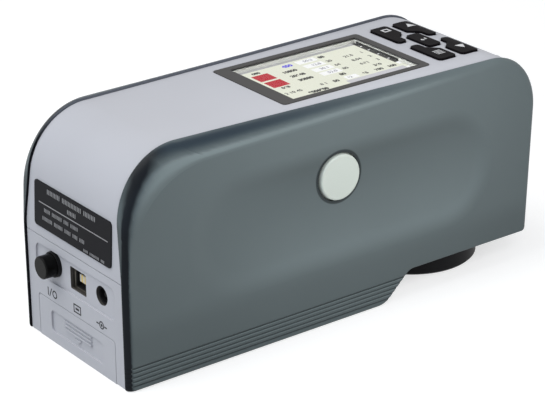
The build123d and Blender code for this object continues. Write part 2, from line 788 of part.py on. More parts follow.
def dc_jack():
    """Barrel jack: round nose through the panel, square body on the board, centre pin."""
    body_x = rear_in_x + part_gap
    half = dc_block_width / 2
    body = block(body_x, body_x + dc_block_length, dc_y - half, dc_y + half,
                 port_board_top_z, dc_z + half)
    nose = rod_x(dc_y, dc_z, recess_x + dc_nose_setback, body_x + 0.2, dc_barrel_r)
    bore = rod_x(dc_y, dc_z, -far, recess_x + dc_bore_depth, dc_bore_r)
    pin = rod_x(dc_y, dc_z, recess_x + dc_nose_setback + 0.8, recess_x + dc_bore_depth + 0.2,
                dc_pin_r)
    return body + nose - bore + pin


def port_board():
    board = slab(rear_in_x + part_gap, port_board_reach - half_length,
                 -board_half_width, board_half_width,
                 port_board_low_z, port_board_top_z, 1.0)
    for x, y in port_post_places:
        board = board - rod(x, y, port_board_low_z - 1, port_board_top_z + 1, screw_r + 0.2)
    return board


def label_plate(cover_half):
    """Thin plate that follows the end face above the seam."""
    proud = half_form(rim_proud - label_thickness, wall)
    prism = end_prism(-label_half_width, label_half_width, label_bottom_z, label_top_z,
                      label_corner_r, -far, 0)
    return both_sides((proud - cover_half) & prism)


def battery_tray():
    """Open-ended bay behind the door."""
    x0 = rear_in_x + part_gap
    inner = tray_half_width - tray_wall
    outer = block(x0, tray_end_x, -tray_half_width, tray_half_width, wall, wall + tray_height)
    return outer - block(x0 - 1, tray_end_x - tray_wall, -inner, inner,
                         wall + tray_wall, wall + tray_height - tray_wall)


def battery_pack():
    x0 = rear_in_x + part_gap + pack_end_gap
    inner = tray_half_width - tray_wall - pack_gap
    low = wall + tray_wall + 0.05
    pack = block(x0, x0 + pack_length, -inner, inner, low, low + pack_height)
    return fillet(pack.edges().filter_by(Axis.X), pack_corner_r)


def battery_contacts():
    """Bent leaf springs between the pack and the end of the bay."""
    springs = []
    x0 = rear_in_x + part_gap + pack_end_gap + pack_length + 0.1
    x1 = tray_end_x - tray_wall - 0.05
    z0 = wall + tray_wall + 2.0
    for row in (-1, 0, 1):
        y = row * contact_pitch
        plane = Plane(origin=(0, y - contact_width / 2, 0), x_dir=(1, 0, 0), z_dir=(0, -1, 0))
        side = Polyline((x1, z0), (x1, z0 + contact_height), (x0, z0 + contact_crest),
                        (x0 + contact_curl, z0 + contact_tip),
                        (x0 + contact_curl + contact_thickness, z0 + contact_tip + contact_thickness / 2),
                        (x0 + contact_thickness, z0 + contact_crest - contact_thickness / 2),
                        (x1 - contact_thickness, z0 + contact_height - 2 * contact_thickness),
                        (x1 - contact_thickness, z0), close=True)
        springs.append(extrude(plane * make_face(side), amount=-contact_width))
    return springs


# ---- measuring head -----------------------------------------------------------------------
def turned(points):
    """A solid turned about the measuring axis from (radius, height) points."""
    plane = Plane(origin=(nose_x, 0, 0), x_dir=(1, 0, 0), z_dir=(0, -1, 0))
    profile = plane * make_face(Polyline(*points, close=True))
    return revolve(profile, axis=Axis((nose_x, 0, 0), (0, 0, 1)))


def nose_ring():
    """Black contact ring: dished face, aperture, cavity for the sphere, spigot and pillars."""
    top = step_height + nose_spigot_height
    ring = turned([
        (aperture_r, aperture_low_z), (dish_outer_r, nose_lift), (nose_r - nose_chamfer, nose_lift),
        (nose_r, nose_lift + nose_chamfer), (nose_r, step_height), (nose_spigot_r, step_height),
        (nose_spigot_r, top), (nose_cavity_r, top), (nose_cavity_r, nose_floor_z),
        (sphere_seat_r, nose_floor_z), (sphere_seat_r, sphere_seat_z),
        (aperture_r, sphere_seat_z),
    ])
    for x, y in pillar_places:
        pillar_top = sphere_z - flange_thickness
        ring = ring + rod(x, y, top - 3, pillar_top, pillar_r)
        ring = ring - rod(x, y, pillar_top - screw_length + 1, far, pillar_screw_r + 0.1)
    for x, y in nose_screw_places:
        ring = ring - rod(x, y, step_height - screw_length + 1, step_height + 1, screw_r + 0.1)
    return ring


def sphere_shell(zone):
    """Hollow ball with a bolting flange at its equator, cut to one half."""
    ball = Pos(nose_x, 0, sphere_z) * Sphere(sphere_outer_r)
    ball = ball + rod(nose_x, 0, sphere_z - flange_thickness, sphere_z + flange_thickness, flange_r)
    return ball & zone


def sphere_hollow():
    hollow = Pos(nose_x, 0, sphere_z) * Sphere(sphere_outer_r - sphere_wall)
    for x, y in pillar_places:
        hollow = hollow + rod(x, y, sphere_z - 3, sphere_z + 3, pillar_screw_r + 0.2)
    return hollow


def sphere_lower():
    """Lower half of the integrating sphere, on a collar round the aperture."""
    half = sphere_shell(block(-far, far, -far, far, -far, sphere_z))
    half = half + rod(nose_x, 0, sphere_seat_z, sphere_seat_z + sphere_wall + 2, sphere_collar_r)
    return half - sphere_hollow() - rod(nose_x, 0, 0, sphere_z, port_r)


def sphere_upper():
    """Upper half, with a viewing port on top and a lamp port at the side."""
    half = sphere_shell(block(-far, far, -far, far, sphere_z, far))
    half = half + rod(nose_x, 0, sensor_tube_low_z - port_collar_length - 1, sensor_tube_low_z,
                      port_collar_r)
    half = half + rod_x(0, lamp_z, led_board_x, nose_x - sphere_outer_r + 4, port_collar_r)
    half = half - sphere_hollow() - rod(nose_x, 0, sphere_z, far, port_r)
    return half - rod_x(0, lamp_z, -far, nose_x, port_r)


def sensor_tube():
    """Tube that stands on the sphere's top port and holds the lens."""
    tube = rod(nose_x, 0, sensor_tube_low_z, sensor_board_z, sensor_tube_r)
    tube = tube - rod(nose_x, 0, 0, far, sensor_lens_r - 0.8)
    return tube - rod(nose_x, 0, sensor_board_z - 5, far, sensor_tube_r - sensor_tube_wall)


def sensor_lens():
    """Biconvex lens in the upper end of the tube."""
    seat_z = sensor_board_z - 5
    lens = rod(nose_x, 0, seat_z, seat_z + sensor_lens_thickness, sensor_lens_r)
    return fillet(lens.edges().group_by(Axis.Z)[-1], 0.6)


def sensor_board():
    half = sensor_board_size / 2
    board = slab(nose_x - half, nose_x + half, -half, half, sensor_board_z,
                 sensor_board_z + board_thickness, 1.0)
    return board + block(nose_x - 4, nose_x + 4, -4, 4, sensor_board_z + board_thickness,
                         sensor_board_z + board_thickness + 1.2)


def led_board():
    """Lamp board over the sphere's side port, with its lamp in the port."""
    half = led_board_size / 2
    board = block(led_board_x - board_thickness, led_board_x, -half, half, lamp_z - half, lamp_z + half)
    return board + rod_x(0, lamp_z, led_board_x - 0.1, led_board_x + led_length, led_r)


# ---- screws -------------------------------------------------------------------------------
def screw(x, y, seat_z, up, length, radius, head_radius, head_height):
    """One pan-head screw along Z; up is 1 where the shank points up from its seat."""
    shank = rod(x, y, min(seat_z, seat_z + up * length), max(seat_z, seat_z + up * length), radius)
    head = rod(x, y, min(seat_z, seat_z - up * head_height), max(seat_z, seat_z - up * head_height),
               head_radius)
    return shank + head


def case_screws():
    return [screw(x, y, floor_height(x) + case_screw_head_depth, 1, case_screw_length, screw_r,
                  case_screw_head_r, case_screw_head_depth - 0.2) for x, y in case_screw_places]


def board_screws():
    """Screws of the main board, the port board and the test switch's board."""
    reach = board_thickness + screw_length - 1
    screws = [screw(x, y, board_low_z, 1, reach, screw_r, screw_head_r, screw_head_height)
              for x, y in board_screw_places]
    screws += [screw(x, y, port_board_top_z, -1, reach, screw_r, screw_head_r, screw_head_height)
               for x, y in port_post_places]
    inner_y = board_thickness - test_board_y
    for side in (-1, 1):
        x = test_x + side * test_post_x
        screws.append(rod_y(x, test_z, inner_y - reach, inner_y, screw_r)
                      + rod_y(x, test_z, inner_y, inner_y + screw_head_height, screw_head_r))
    return screws


def head_screws():
    """Screws of the contact ring and of the sphere's flanges."""
    screws = [screw(x, y, step_height + wall, -1, wall + screw_length - 2, screw_r, screw_head_r,
                    screw_head_height) for x, y in nose_screw_places]
    screws += [screw(x, y, sphere_z + flange_thickness, -1, 2 * flange_thickness + screw_length - 2,
                     pillar_screw_r, 2 * pillar_screw_r, screw_head_height) for x, y in pillar_places]
    return screws


# ---- the whole instrument -----------------------------------------------------------------
def all_parts():
    outer_half = half_form(0.0, 0.0)
    cover_half = half_form(rim_proud, 0.0)
    strip = perimeter_wall(cover_half, core_half(0.0))
    plain = plain_shell(outer_half, core_half(part_gap))
    parts = {
        "left_shell": plain,
        "right_shell": button_shell(plain),
        "top_cover": top_cover(strip),
        "port_panel": port_panel(strip),
        "base_cover": base_cover(strip),
        "battery_door": battery_door(),
        "label_plate": label_plate(cover_half),
        "display_bezel": display_bezel(),
        "display_lens": display_lens(),
        "display_gasket": display_gasket(),
        "lcd_module": lcd_module(),
        "main_board": main_board(),
        "key_switches": key_switches(),
        "test_button": test_button(),
        "test_switch": test_switch(),
        "power_button": power_button(),
        "power_switch": power_switch(),
        "usb_shell": usb_shell(),
        "usb_insert": usb_insert(),
        "dc_jack": dc_jack(),
        "port_board": port_board(),
        "battery_tray": battery_tray(),
        "battery_pack": battery_pack(),
        "battery_contacts": battery_contacts(),
        "nose_ring": nose_ring(),
        "sphere_lower": sphere_lower(),
        "sphere_upper": sphere_upper(),
        "sensor_tube": sensor_tube(),
        "sensor_lens": sensor_lens(),
        "sensor_board": sensor_board(),
        "led_board": led_board(),
        "case_screws": case_screws(),
        "board_screws": board_screws(),
        "head_screws": head_screws(),
    }
    cap_skin = both_sides(half_form(rim_proud - key_proud, 0.0))
    flange_skin = both_sides(half_form(rim_proud + wall + key_flange_gap, wall))
    for name, shape in key_outlines().items():
        parts[name] = key(shape, key_stem_places[name], cap_skin, flange_skin)
    return parts


os.makedirs("parts", exist_ok=True)
for node, shape in all_parts().items():
    solids = shape if isinstance(shape, list) else [shape]
    export_step(Compound(children=[s for piece in solids for s in piece.solids()]), f"parts/{node}.step")
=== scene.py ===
import math

import bmesh
import bpy
from mathutils import Matrix, Vector
from mathutils.bvhtree import BVHTree


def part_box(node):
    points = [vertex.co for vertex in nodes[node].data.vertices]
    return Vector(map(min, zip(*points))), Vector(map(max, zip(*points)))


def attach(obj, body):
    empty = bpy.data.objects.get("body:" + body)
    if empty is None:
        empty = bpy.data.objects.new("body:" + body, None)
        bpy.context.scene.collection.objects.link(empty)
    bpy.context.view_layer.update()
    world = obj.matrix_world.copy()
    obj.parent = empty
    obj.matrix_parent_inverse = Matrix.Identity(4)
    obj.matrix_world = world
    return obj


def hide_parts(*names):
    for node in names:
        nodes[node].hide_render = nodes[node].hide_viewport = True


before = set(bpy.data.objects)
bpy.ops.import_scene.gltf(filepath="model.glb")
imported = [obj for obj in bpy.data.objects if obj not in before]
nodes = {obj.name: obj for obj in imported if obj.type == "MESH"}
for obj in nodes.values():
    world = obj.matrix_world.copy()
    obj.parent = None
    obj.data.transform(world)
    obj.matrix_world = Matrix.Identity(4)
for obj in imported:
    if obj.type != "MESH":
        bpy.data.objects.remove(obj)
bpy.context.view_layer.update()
mm = 0.001

# ---- base cover ---------------------------------------------------------------------------
# The underside moulding with the rest face, the slope and the raised measuring end.
# Injection-moulded ABS in pale cool grey with a fine spark-eroded texture.
# Six screws through it draw the side shells and the top cover together.


def new_group(name, inputs, outputs):
    """An empty shader node group with its sockets, and its input and output nodes."""
    group = bpy.data.node_groups.new(name, "ShaderNodeTree")
    for label, kind, value in inputs:
        socket = group.interface.new_socket(label, in_out="INPUT", socket_type=kind)
        if value is not None:
            socket.default_value = value
    for label, kind in outputs:
        group.interface.new_socket(label, in_out="OUTPUT", socket_type=kind)
    return group, group.nodes.new("NodeGroupInput"), group.nodes.new("NodeGroupOutput")


def maths(tree, operation, a, b=None, clamp=False):
    """A Math node fed by sockets or numbers; returns its output."""
    node = tree.nodes.new("ShaderNodeMath")
    node.operation = operation
    node.use_clamp = clamp
    for socket, value in zip(node.inputs, (a, b)):
        if isinstance(value, (int, float)):
            socket.default_value = value
        elif value is not None:
            tree.links.new(value, socket)
    return node.outputs[0]


def noise(tree, vector, scale, detail=2.0):
    """A Noise Texture node on the given vector; returns its grey output."""
    node = tree.nodes.new("ShaderNodeTexNoise")
    node.inputs["Scale"].default_value = scale
    node.inputs["Detail"].default_value = detail
    tree.links.new(vector, node.inputs["Vector"])
    return node.outputs["Fac"]


def axes_of(tree, kind="Object"):
    """The X, Y and Z of a texture coordinate: the place in metres, or the normal."""
    split = tree.nodes.new("ShaderNodeSeparateXYZ")
    tree.links.new(tree.nodes.new("ShaderNodeTexCoord").outputs[kind], split.inputs[0])
    return split.outputs


def tinted(tree, fac, low, high):
    """A colour that runs from low to high with fac."""
    node = tree.nodes.new("ShaderNodeMix")
    node.data_type = "RGBA"
    for socket, colour in ((node.inputs[6], low), (node.inputs[7], high)):
        if isinstance(colour, (tuple, list)):
            socket.default_value = (*colour[:3], 1)
        else:
            tree.links.new(colour, socket)
    if isinstance(fac, (int, float)):
        node.inputs[0].default_value = fac
    else:
        tree.links.new(fac, node.inputs[0])
    return node.outputs[2]


# Spark-eroded grain of a mould, with the slow unevenness of the moulding under it.
grain, grain_in, grain_out = new_group(
    "mould_grain",
    [("Vector", "NodeSocketVector", None), ("Grain per metre", "NodeSocketFloat", 2600.0),
     ("Patch per metre", "NodeSocketFloat", 22.0)],
    [("Height", "NodeSocketFloat"), ("Patch", "NodeSocketFloat")])
fine = grain.nodes.new("ShaderNodeTexNoise")
fine.inputs["Detail"].default_value = 3.0
grain.links.new(grain_in.outputs["Vector"], fine.inputs["Vector"])
grain.links.new(grain_in.outputs["Grain per metre"], fine.inputs["Scale"])
slow = grain.nodes.new("ShaderNodeTexNoise")
slow.inputs["Detail"].default_value = 4.0
grain.links.new(grain_in.outputs["Vector"], slow.inputs["Vector"])
grain.links.new(grain_in.outputs["Patch per metre"], slow.inputs["Scale"])
grain.links.new(fine.outputs["Fac"], grain_out.inputs["Height"])
grain.links.new(slow.outputs["Fac"], grain_out.inputs["Patch"])

# Edges that the tool left slightly round, and a mask of them. A finish pales its edges by
# the mask, as wear and as painted highlight.
edges, edges_in, edges_out = new_group(
    "softened_edges",
    [("Radius", "NodeSocketFloat", 0.0004)],
    [("Normal", "NodeSocketVector"), ("Edge", "NodeSocketFloat")])
rounded = edges.nodes.new("ShaderNodeBevel")
rounded.samples = 4
edges.links.new(edges_in.outputs["Radius"], rounded.inputs["Radius"])
geometry = edges.nodes.new("ShaderNodeNewGeometry")
turn = edges.nodes.new("ShaderNodeVectorMath")
turn.operation = "DOT_PRODUCT"
edges.links.new(rounded.outputs[0], turn.inputs[0])
edges.links.new(geometry.outputs["True Normal"], turn.inputs[1])
away = maths(edges, "SUBTRACT", 1.0, turn.outputs["Value"])
edge_gain = 5.0
edges.links.new(maths(edges, "MULTIPLY", away, edge_gain, clamp=True), edges_out.inputs["Edge"])
edges.links.new(rounded.outputs[0], edges_out.inputs["Normal"])


def moulded(name, colour, roughness, grain_per_metre=2600.0, grain_depth=0.02, wear_and_highlight=0.12,
            metallic=0.0, specular=0.5, edge_radius=0.35):
    """A moulded finish: grain in the bump and the roughness, slow tone changes and paled edges.

    The grain's depth and the edges' radius are in mm; the edge paling after the grain's depth
    sets how pale an edge gets, as wear and as a painted highlight.
    """
    material = bpy.data.materials.new(name)
    material.use_nodes = True
    tree = material.node_tree
    shader = tree.nodes["Principled BSDF"]
    place = tree.nodes.new("ShaderNodeTexCoord").outputs["Object"]
    texture = tree.nodes.new("ShaderNodeGroup")
    texture.node_tree = grain
    tree.links.new(place, texture.inputs["Vector"])
    texture.inputs["Grain per metre"].default_value = grain_per_metre
    rim = tree.nodes.new("ShaderNodeGroup")
    rim.node_tree = edges
    rim.inputs["Radius"].default_value = edge_radius * mm
    uneven, roughness_run, edge_pale_gain, edge_pale_least = 0.05, 0.10, 1.35, 0.02
    low = tuple(c * (1 - uneven) for c in colour)
    high = tuple(min(c * (1 + uneven), 1.0) for c in colour)
    tone = tinted(tree, texture.outputs["Patch"], low, high)
    pale = tuple(min(c * edge_pale_gain + edge_pale_least, 1.0) for c in colour)
    paled_edge = maths(tree, "MULTIPLY", rim.outputs["Edge"], wear_and_highlight, clamp=True)
    tree.links.new(tinted(tree, paled_edge, tone, pale), shader.inputs["Base Color"])
    patchy = maths(tree, "MULTIPLY_ADD", texture.outputs["Patch"], roughness_run)
    patchy.node.inputs[2].default_value = roughness - roughness_run / 2
    tree.links.new(patchy, shader.inputs["Roughness"])
    bump = tree.nodes.new("ShaderNodeBump")
    bump.inputs["Strength"].default_value = 0.5
    bump.inputs["Distance"].default_value = grain_depth * mm
    tree.links.new(texture.outputs["Height"], bump.inputs["Height"])
    tree.links.new(rim.outputs["Normal"], bump.inputs["Normal"])
    tree.links.new(bump.outputs[0], shader.inputs["Normal"])
    shader.inputs["Metallic"].default_value = metallic
    shader.inputs["Specular IOR Level"].default_value = specular
    return material


def finish(material, *names):
    """Gives CAD nodes their finish."""
    for name in names:
        mesh = nodes[name].data
        mesh.materials.clear()
        mesh.materials.append(material)


pale_plastic = moulded("pale_grey_abs", (0.50, 0.504, 0.54), 0.50, 3000, 0.012, 0.10,
                       specular=0.2)
finish(pale_plastic, "base_cover")

# ---- contact ring -------------------------------------------------------------------------
# The black ring round the measuring aperture, which is set down on the sample.
# Turned black acetal with a dished face, screwed up into the raised end of the base cover.
black_plastic = moulded("black_acetal", (0.008, 0.008, 0.009), 0.45, 3600, 0.010, 0.06,
                        specular=0.1)
finish(black_plastic, "nose_ring")

# ---- measuring head -----------------------------------------------------------------------
# The two halves of the integrating sphere with the viewing tube, its lens and two boards.
# The halves have a matt white coating; the tube is black and the boards are green.
sphere_white = moulded("barium_white", (0.86, 0.86, 0.85), 0.85, 1800, 0.03, 0.0)
finish(sphere_white, "sphere_lower", "sphere_upper")
finish(black_plastic, "sensor_tube")


def clear(name, colour, ior, smudge):
    """Clear glass with faint smudges, which change the roughness and hardly the colour."""
    smears_per_metre, smears_detail, clean, faint_loss = 45.0, 5.0, 0.01, 0.015
    material = bpy.data.materials.new(name)
    material.use_nodes = True
    tree = material.node_tree
    shader = tree.nodes["Principled BSDF"]
    place = tree.nodes.new("ShaderNodeTexCoord").outputs["Object"]
    smears = maths(tree, "MULTIPLY_ADD", noise(tree, place, smears_per_metre, smears_detail),
                   smudge)
    smears.node.inputs[2].default_value = clean
    tree.links.new(smears, shader.inputs["Roughness"])
    dulled = tuple(c * (1 - faint_loss) for c in colour)
    tree.links.new(tinted(tree, noise(tree, place, 30.0), colour, dulled),
                   shader.inputs["Base Color"])
    shader.inputs["Transmission Weight"].default_value = 1.0
    shader.inputs["IOR"].default_value = ior
    return material


lens_glass = clear("optical_glass", (0.98, 0.99, 0.99), 1.5, 0.01)
finish(lens_glass, "sensor_lens")
solder_mask = moulded("green_solder_mask", (0.012, 0.11, 0.04), 0.35, 900, 0.02, 0.2)
finish(solder_mask, "sensor_board", "led_board")

# ---- port board ---------------------------------------------------------------------------
# The board behind the end panel, with the square data socket, the power jack and the switch.
# The socket is a nickel-plated shell round a black insulator, whose pale tongue carries gold
# contacts. All three are soldered to the board.
finish(solder_mask, "port_board")
nickel = moulded("nickel_plate", (0.20, 0.19, 0.17), 0.35, 1500, 0.006, 0.2, metallic=1.0)
finish(nickel, "usb_shell")


def within(tree, centre, half):
    """1 inside a box given by its centre and half sizes in mm, and 0 outside it."""
    inside = None
    for axis, middle, reach in zip(axes_of(tree), centre, half):
        away = maths(tree, "ABSOLUTE", maths(tree, "SUBTRACT", axis, middle * mm))
        near = maths(tree, "LESS_THAN", away, reach * mm)
        inside = near if inside is None else maths(tree, "MULTIPLY", inside, near)
    return inside


def recoloured(material, mask, colour, metallic=None):
    """Paints the masked part of a moulded finish in another colour.

    It is as metallic as metallic says; in one finish, only the last part painted so is a metal.
    """
    tree = material.node_tree
    shader = tree.nodes["Principled BSDF"]
    under = shader.inputs["Base Color"].links[0].from_socket
    tree.links.new(tinted(tree, mask, under, colour), shader.inputs["Base Color"])
    if metallic is not None:
        tree.links.new(maths(tree, "MULTIPLY", mask, metallic), shader.inputs["Metallic"])


insulator = moulded("black_insulator", (0.012, 0.012, 0.012), 0.40, 2500, 0.01, 0.05)
usb_low, usb_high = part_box("usb_insert")
usb_x = usb_low[0] / mm
usb_y, usb_z = ((usb_low[axis] + usb_high[axis]) / 2 / mm for axis in (1, 2))
tongue_half, tongue_ivory = (7.0, 3.0, 1.75), (0.66, 0.64, 0.57)
contact_back, contact_apart, contact_half = 3.5, 1.1, (3.0, 0.55, 1.9)
contact_gold, plated = (0.75, 0.56, 0.20), 0.9
tree = insulator.node_tree
recoloured(insulator, within(tree, (usb_x, usb_y, usb_z), tongue_half), tongue_ivory)
for side in (-1, 1):
    contact_middle = (usb_x + contact_back, usb_y + contact_apart * side, usb_z)
    recoloured(insulator, within(tree, contact_middle, contact_half), contact_gold, plated)
finish(insulator, "usb_insert")

jack_black = moulded("black_nylon", (0.010, 0.010, 0.011), 0.5, 2600, 0.012, 0.06, specular=0.1)
jack_low, jack_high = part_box("dc_jack")
jack_y = (jack_low[1] + jack_high[1]) / 2 / mm
pin_back, pin_z, pin_half, pin_brass = 8.0, 34.2, (7.0, 1.15, 1.15), (0.72, 0.60, 0.36)
pin = within(jack_black.node_tree, (jack_low[0] / mm + pin_back, jack_y, pin_z), pin_half)
recoloured(jack_black, pin, pin_brass, plated)
finish(jack_black, "dc_jack")
finish(black_plastic, "power_switch")

# ---- battery bay --------------------------------------------------------------------------
# An open-ended tray behind the door, with the sleeved cell pack and three leaf springs.
# The pack is slid in from the end and pressed against the springs.
finish(black_plastic, "battery_tray")
sleeve_blue = moulded("shrunk_sleeve", (0.03, 0.07, 0.24), 0.30, 500, 0.03, 0.1)
finish(sleeve_blue, "battery_pack")
zinc = moulded("zinc_plate", (0.58, 0.58, 0.57), 0.34, 1600, 0.008, 0.2, metallic=1.0)
finish(zinc, "battery_contacts", "board_screws", "head_screws")

# ---- case screws --------------------------------------------------------------------------
# Six zinc-plated pan-head screws with a cross recess, driven up through the base cover.
# They hold the base cover, the side shells and the top cover together.
head_r, head_height, shank_r = 2.4 * mm, 1.2 * mm, 1.1 * mm
recess_reach, recess_width, recess_depth = 1.35 * mm, 0.5 * mm, 0.75 * mm


def clusters(node, apart):
    """The boxes of the separate solids in a CAD node whose solids stand apart in plan."""
    found = []
    for vertex in nodes[node].data.vertices:
        place = vertex.co
        for low, high in found:
            middle = (low + high) / 2
            if abs(place.x - middle.x) < apart and abs(place.y - middle.y) < apart:
                for axis in range(3):
                    low[axis] = min(low[axis], place[axis])
                    high[axis] = max(high[axis], place[axis])
                break
        else:
            found.append((place.copy(), place.copy()))
    return found


def node_in(tree, kind, **values):
    """A geometry node with its sockets set by label; sockets given are linked."""
    made = tree.nodes.new(kind)
    for label, value in values.items():
        socket = made.inputs[label.replace("_", " ")]
        if isinstance(value, bpy.types.NodeSocket):
            tree.links.new(value, socket)
        else:
            socket.default_value = value
    return made


screw_boxes = clusters("case_screws", 6 * mm)
screw_length = max(high.z - low.z for low, high in screw_boxes)
screw_tree = bpy.data.node_groups.new("case_screw_set", "GeometryNodeTree")
screw_tree.interface.new_socket("Geometry", in_out="INPUT", socket_type="NodeSocketGeometry")
for label in ("Head radius", "Head height", "Shank radius", "Length"):
    screw_tree.interface.new_socket(label, in_out="INPUT", socket_type="NodeSocketFloat")
screw_tree.interface.new_socket("Geometry", in_out="OUTPUT", socket_type="NodeSocketGeometry")
given = screw_tree.nodes.new("NodeGroupInput").outputs
shown = screw_tree.nodes.new("NodeGroupOutput").inputs


def lifted(geometry, height):
    """Geometry moved up by a height."""
    shift = screw_tree.nodes.new("ShaderNodeCombineXYZ")
    screw_tree.links.new(height, shift.inputs["Z"])
    moved = node_in(screw_tree, "GeometryNodeTransform", Geometry=geometry,
                    Translation=shift.outputs[0])
    return moved.outputs[0]


def column(radius, depth, vertices):
    """An upright cylinder that stands on the origin."""
    made = node_in(screw_tree, "GeometryNodeMeshCylinder", Vertices=vertices, Radius=radius,
                   Depth=depth)
    return lifted(made.outputs["Mesh"], maths(screw_tree, "MULTIPLY", depth, 0.5))


head = column(given["Head radius"], given["Head height"], 32)
for long_way in (0, 1):
    size = [recess_width, recess_width, 2 * recess_depth]
    size[long_way] = 2 * recess_reach
    bar = node_in(screw_tree, "GeometryNodeMeshCube", Size=size)
    cut = screw_tree.nodes.new("GeometryNodeMeshBoolean")
    cut.operation = "DIFFERENCE"
    screw_tree.links.new(head, cut.inputs["Mesh 1"])
    screw_tree.links.new(bar.outputs["Mesh"], cut.inputs["Mesh 2"])
    head = cut.outputs["Mesh"]
shank_length = maths(screw_tree, "SUBTRACT", given["Length"], given["Head height"])
shank = column(given["Shank radius"], shank_length, 20)
screw_parts = screw_tree.nodes.new("GeometryNodeJoinGeometry")
screw_tree.links.new(head, screw_parts.inputs[0])
screw_tree.links.new(lifted(shank, given["Head height"]), screw_parts.inputs[0])
set_out = node_in(screw_tree, "GeometryNodeInstanceOnPoints", Points=given["Geometry"],
                  Instance=screw_parts.outputs[0])
real = node_in(screw_tree, "GeometryNodeRealizeInstances", Geometry=set_out.outputs[0])
dressed = node_in(screw_tree, "GeometryNodeSetMaterial", Geometry=real.outputs[0], Material=zinc)
screw_tree.links.new(dressed.outputs[0], shown[0])


def from_tree(name, tree, points, values):
    """Runs a geometry tree on points and returns the result as a plain object."""
    seed = bpy.data.meshes.new(name)
    seed.from_pydata([tuple(point) for point in points], [], [])
    piece = bpy.data.objects.new(name, seed)
    bpy.context.scene.collection.objects.link(piece)
    modifier = piece.modifiers.new("tree", "NODES")
    modifier.node_group = tree
    for item in tree.interface.items_tree:
        if item.item_type == "SOCKET" and item.in_out == "INPUT" and item.name in values:
            modifier[item.identifier] = values[item.name]
    evaluated = piece.evaluated_get(bpy.context.evaluated_depsgraph_get())
    result = bpy.data.meshes.new_from_object(evaluated)
    piece.modifiers.remove(modifier)
    piece.data = result
    return piece


screw_feet = [((low.x + high.x) / 2, (low.y + high.y) / 2, low.z) for low, high in screw_boxes]
case_screws = from_tree("case_screw_heads", screw_tree, screw_feet,
                        {"Head radius": head_r, "Head height": head_height,
                         "Shank radius": shank_r, "Length": screw_length})
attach(case_screws, "housing")
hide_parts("case_screws")

# ---- main board and display ---------------------------------------------------------------
# The board under the top cover, with five key switches and the display on four legs. Screws
# hold it to the cover's bosses, and a foam frame seals the display against the window.
# The display is a lit panel: a cream field that shows a reading.
finish(solder_mask, "main_board", "test_switch")
finish(black_plastic, "key_switches")
foam = moulded("gasket_foam", (0.70, 0.70, 0.66), 0.85, 1500, 0.03, 0.0)
# A strip of black tape on the foam, beside the display's side bar.
tape_middle, tape_half, tape_black = (55.0, 6.5, 91.8), (0.6, 14.0, 0.85), (0.004, 0.004, 0.004)
recoloured(foam, within(foam.node_tree, tape_middle, tape_half), tape_black)
finish(foam, "display_gasket")


# Fine rows and columns of the display's dots, a little darker between them.
raster, raster_in, raster_out = new_group(
    "display_dots",
    [("Dots per metre", "NodeSocketFloat", 7000.0), ("Depth", "NodeSocketFloat", 0.1)],
    [("Light", "NodeSocketFloat")])
dark_share = 0.12
gap = None
for axis in axes_of(raster)[:2]:
    phase = maths(raster, "FRACT", maths(raster, "MULTIPLY", axis, raster_in.outputs[0]))
    line = maths(raster, "LESS_THAN", phase, dark_share)
    gap = line if gap is None else maths(raster, "MAXIMUM", gap, line)
loss = maths(raster, "MULTIPLY", gap, raster_in.outputs[1])
raster.links.new(maths(raster, "SUBTRACT", 1.0, loss), raster_out.inputs[0])


def lit(name, colour):
    """A lit field of the display: its own light, uneven by a few percent and cut into dots."""
    uneven = 0.04
    material = bpy.data.materials.new(name)
    material.use_nodes = True
    tree = material.node_tree
    shader = tree.nodes["Principled BSDF"]
    shader.inputs["Base Color"].default_value = (0.02, 0.02, 0.02, 1)
    shader.inputs["Roughness"].default_value = 0.4
    shader.inputs["Specular IOR Level"].default_value = 0.0
    place = tree.nodes.new("ShaderNodeTexCoord").outputs["Object"]
    dots = tree.nodes.new("ShaderNodeGroup")
    dots.node_tree = raster
    low = tuple(c * (1 - uneven) for c in colour)
    glow = tinted(tree, noise(tree, place, 18.0), low, colour)
    tree.links.new(tinted(tree, dots.outputs[0], (0, 0, 0), glow), shader.inputs["Emission Color"])
    shader.inputs["Emission Strength"].default_value = 1.0
    return material


finish(lit("lit_cream", (0.83, 0.84, 0.71)), "lcd_module")


def surface_of(*names):
    """A search tree over the faces of CAD nodes."""
    corners, faces = [], []
    for name in names:
        mesh = nodes[name].data
        first = len(corners)
        corners += [vertex.co.copy() for vertex in mesh.vertices]
        faces += [[first + index for index in face.vertices] for face in mesh.polygons]
    return BVHTree.FromPolygons(corners, faces)


def figures(text, x, y, height, bold):
    """Plain figures as a flat mesh with their middle left at x, y, all in mm."""
    height_of_size = 0.73
    curve = bpy.data.curves.new("figures", "FONT")
    curve.body = text
    curve.size = height / height_of_size
    curve.offset = bold
    curve.align_y = "CENTER"
    curve.extrude = 0.5
    return flat_mesh(curve, x, y)


def outlines(loops, x=0.0, y=0.0):
    """Closed outlines in mm as a flat mesh; an outline inside another is a hole."""
    curve = bpy.data.curves.new("outlines", "CURVE")
    curve.dimensions = "2D"
    curve.fill_mode = "BOTH"
    curve.extrude = 0.5
    for loop in loops:
        spline = curve.splines.new("POLY")
        spline.points.add(len(loop) - 1)
        for point, (across, along) in zip(spline.points, loop):
            point.co = (across, along, 0, 1)
        spline.use_cyclic_u = True
    return flat_mesh(curve, x, y)


def flat_mesh(curve, x, y):
    """The curve as a mesh 1 unit thick, moved to x, y."""
    carrier = bpy.data.objects.new(curve.name, curve)
    mesh = bpy.data.meshes.new_from_object(carrier)
    bpy.data.objects.remove(carrier)
    mesh.transform(Matrix.Translation((x, y, 0.5)))
    return mesh


def rectangle(x0, y0, x1, y1):
    """The outline of a rectangle, by two corners."""
    return [(x0, y0), (x1, y0), (x1, y1), (x0, y1)]


def block(x0, y0, x1, y1):
    """A filled rectangle as a flat mesh, by two corners in mm."""
    return outlines([rectangle(x0, y0, x1, y1)])


